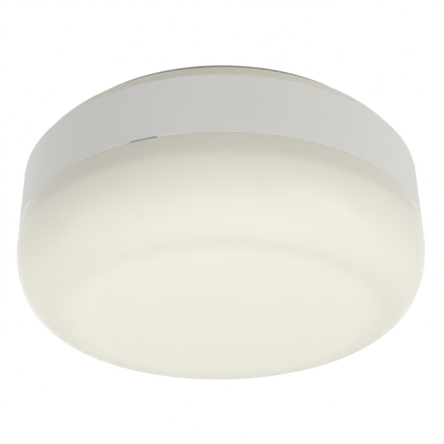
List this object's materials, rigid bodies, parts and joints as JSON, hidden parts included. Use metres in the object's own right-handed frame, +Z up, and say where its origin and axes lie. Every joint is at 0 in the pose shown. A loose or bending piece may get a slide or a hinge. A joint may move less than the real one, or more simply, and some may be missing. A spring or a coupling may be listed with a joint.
{
  "type": "round bulkhead light",
  "caption": "Round surface-mounted bulkhead light: cream base pan, white trim ring and snap-in opal diffuser over screw-in lamps in porcelain holders on a gear tray.",
  "frame": {"origin": "midway between the two fixing holes, on the rear face that meets the ceiling", "axes": "+Z points up into the ceiling, -Y is the front from which the picture was taken, and the two fixing holes lie along X"},
  "size_m": [0.25, 0.25, 0.1095],
  "materials": {
    "pan": "moulded cream plastic, satin",
    "gasket": "closed-cell foam rubber",
    "washer": "sealing rubber",
    "grommet": "black moulded rubber",
    "ring": "white semi-gloss powder coat",
    "screw": "zinc-plated steel",
    "opal": "opal diffuser, satin gloss, translucent",
    "seal": "pale silicone rubber",
    "spring_steel": "stainless spring steel",
    "tray": "white enamelled steel reflector",
    "bracket": "zinc-plated sheet steel",
    "holder": "white porcelain",
    "brass": "pressed brass",
    "zinc": "zinc-plated steel",
    "globe": "opal glass",
    "cap": "nickel-plated screw cap",
    "insulator": "black glass insulator",
    "solder": "soldered tip contact",
    "block": "moulded polyamide",
    "live": "brown wire insulation",
    "neutral": "blue wire insulation",
    "earth": "green and yellow wire insulation"
  },
  "bodies": {
    "housing": {"base_pan": "pan", "wall_gasket": "gasket", "fixing_washers": "washer", "cable_grommet": "grommet", "trim_ring": "ring", "ring_screws": "screw", "diffuser_seal": "seal", "diffuser_clips": "spring_steel", "clip_screws": "screw", "gear_tray": "tray", "tray_screws": "screw", "tray_bushes": "grommet", "bracket_a": "bracket", "bracket_b": "bracket", "bracket_screws": "screw", "holder_body_a": "holder", "holder_body_b": "holder", "thread_shell_a": "brass", "thread_shell_b": "brass", "centre_contact_a": "brass", "centre_contact_b": "brass", "holder_nipples": "zinc", "holder_nuts": "zinc", "terminal_block": "block", "terminal_inserts": "brass", "terminal_screws": "screw", "block_screws": "screw", "earth_tongue": "zinc", "earth_screw": "screw", "live_wire_a": "live", "neutral_wire_a": "neutral", "live_wire_b": "live", "neutral_wire_b": "neutral", "earth_wire": "earth"},
    "diffuser_body": {"diffuser": "opal"},
    "lamp_a_tip_body": {"lamp_tip_a": "solder"},
    "lamp_a_body": {"lamp_globe_a": "globe", "lamp_cap_a": "cap", "lamp_insulator_a": "insulator"},
    "lamp_b_tip_body": {"lamp_tip_b": "solder"},
    "lamp_b_body": {"lamp_globe_b": "globe", "lamp_cap_b": "cap", "lamp_insulator_b": "insulator"}
  },
  "joints": [
    {"name": "diffuser_pull", "type": "slide", "parent": "housing", "child": "diffuser_body", "axis": [0, 0, -1], "range_m": [0, 0.08], "deforming": ["diffuser_clips"]},
    {"name": "lamp_a_travel", "type": "slide", "parent": "housing", "child": "lamp_a_tip_body", "axis": [1, 0, 0], "range_m": [0, 0.0182]},
    {"name": "lamp_a_turn", "type": "hinge", "parent": "lamp_a_tip_body", "child": "lamp_a_body", "pos_m": [0, 0.034, -0.058], "axis": [1, 0, 0], "range_deg": [0, 1800]},
    {"name": "lamp_b_travel", "type": "slide", "parent": "housing", "child": "lamp_b_tip_body", "axis": [-1, 0, 0], "range_m": [0, 0.0182]},
    {"name": "lamp_b_turn", "type": "hinge", "parent": "lamp_b_tip_body", "child": "lamp_b_body", "pos_m": [0, -0.034, -0.058], "axis": [-1, 0, 0], "range_deg": [0, 1800]}
  ],
  "couplings": [
    {"joint": "lamp_a_travel", "follows": "lamp_a_turn", "m_per_rad": 0.00057773},
    {"joint": "lamp_b_travel", "follows": "lamp_b_turn", "m_per_rad": 0.00057773}
  ]
}
